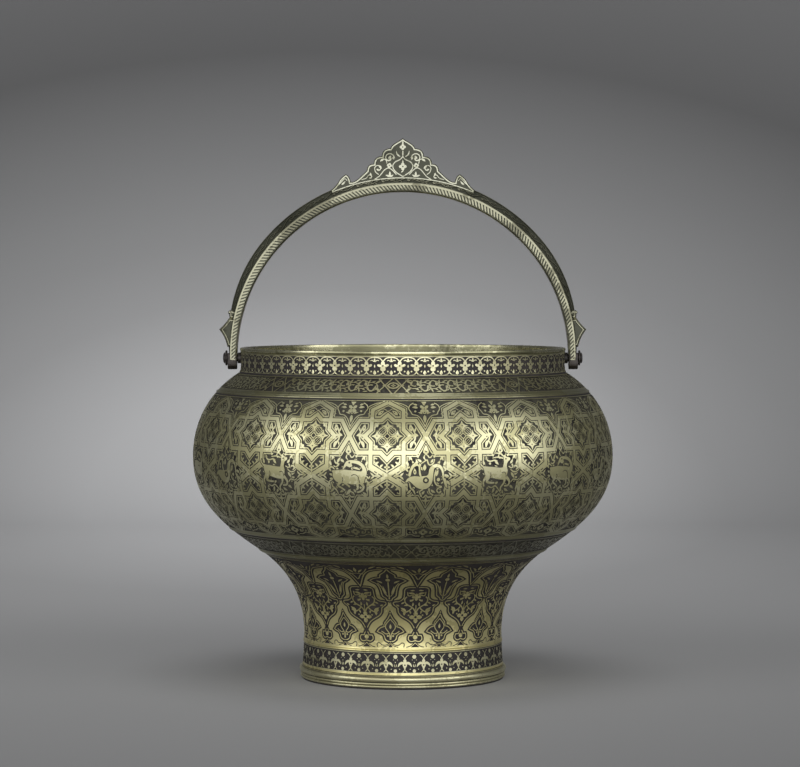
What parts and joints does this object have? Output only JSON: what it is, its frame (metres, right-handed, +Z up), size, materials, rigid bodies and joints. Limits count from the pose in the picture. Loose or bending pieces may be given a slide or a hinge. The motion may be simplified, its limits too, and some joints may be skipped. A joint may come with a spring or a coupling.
{
  "type": "bath pail",
  "caption": "Round-bellied metal pail on a flared hollow foot, with a straight neck and a hinged arched bail topped by a lobed crest.",
  "frame": {"origin": "on the axis of the pail, in the plane that its foot stands on", "axes": "+Z up; +X through the right-hand pivot as the picture shows it, so the bail swings about X; +Y away from the viewer"},
  "size_m": [0.2094, 0.2094, 0.2691],
  "materials": {
    "engraved_brass": "engraved, with a black-filled ground",
    "plain_brass": "turned and rubbed",
    "bail_brass": "cast, chased and darkened",
    "crest_brass": "cast and chased, greyed",
    "pivot_iron": "forged, dark"
  },
  "bodies": {
    "body": {"bowl": "engraved_brass", "pedestal": "engraved_brass", "foot_ring": "plain_brass", "right_lug": "pivot_iron", "left_lug": "pivot_iron", "right_pivot_pin": "pivot_iron", "left_pivot_pin": "pivot_iron", "right_washer": "pivot_iron", "left_washer": "pivot_iron"},
    "bail": {"handle_bow": "bail_brass", "handle_crest": "crest_brass", "right_spur": "bail_brass", "left_spur": "bail_brass"}
  },
  "joints": [
    {"name": "bail_swing", "type": "hinge", "parent": "body", "child": "bail", "pos_m": [0, 0, 0.1596], "axis": [1, 0, 0], "range_deg": [-92, 92]}
  ]
}
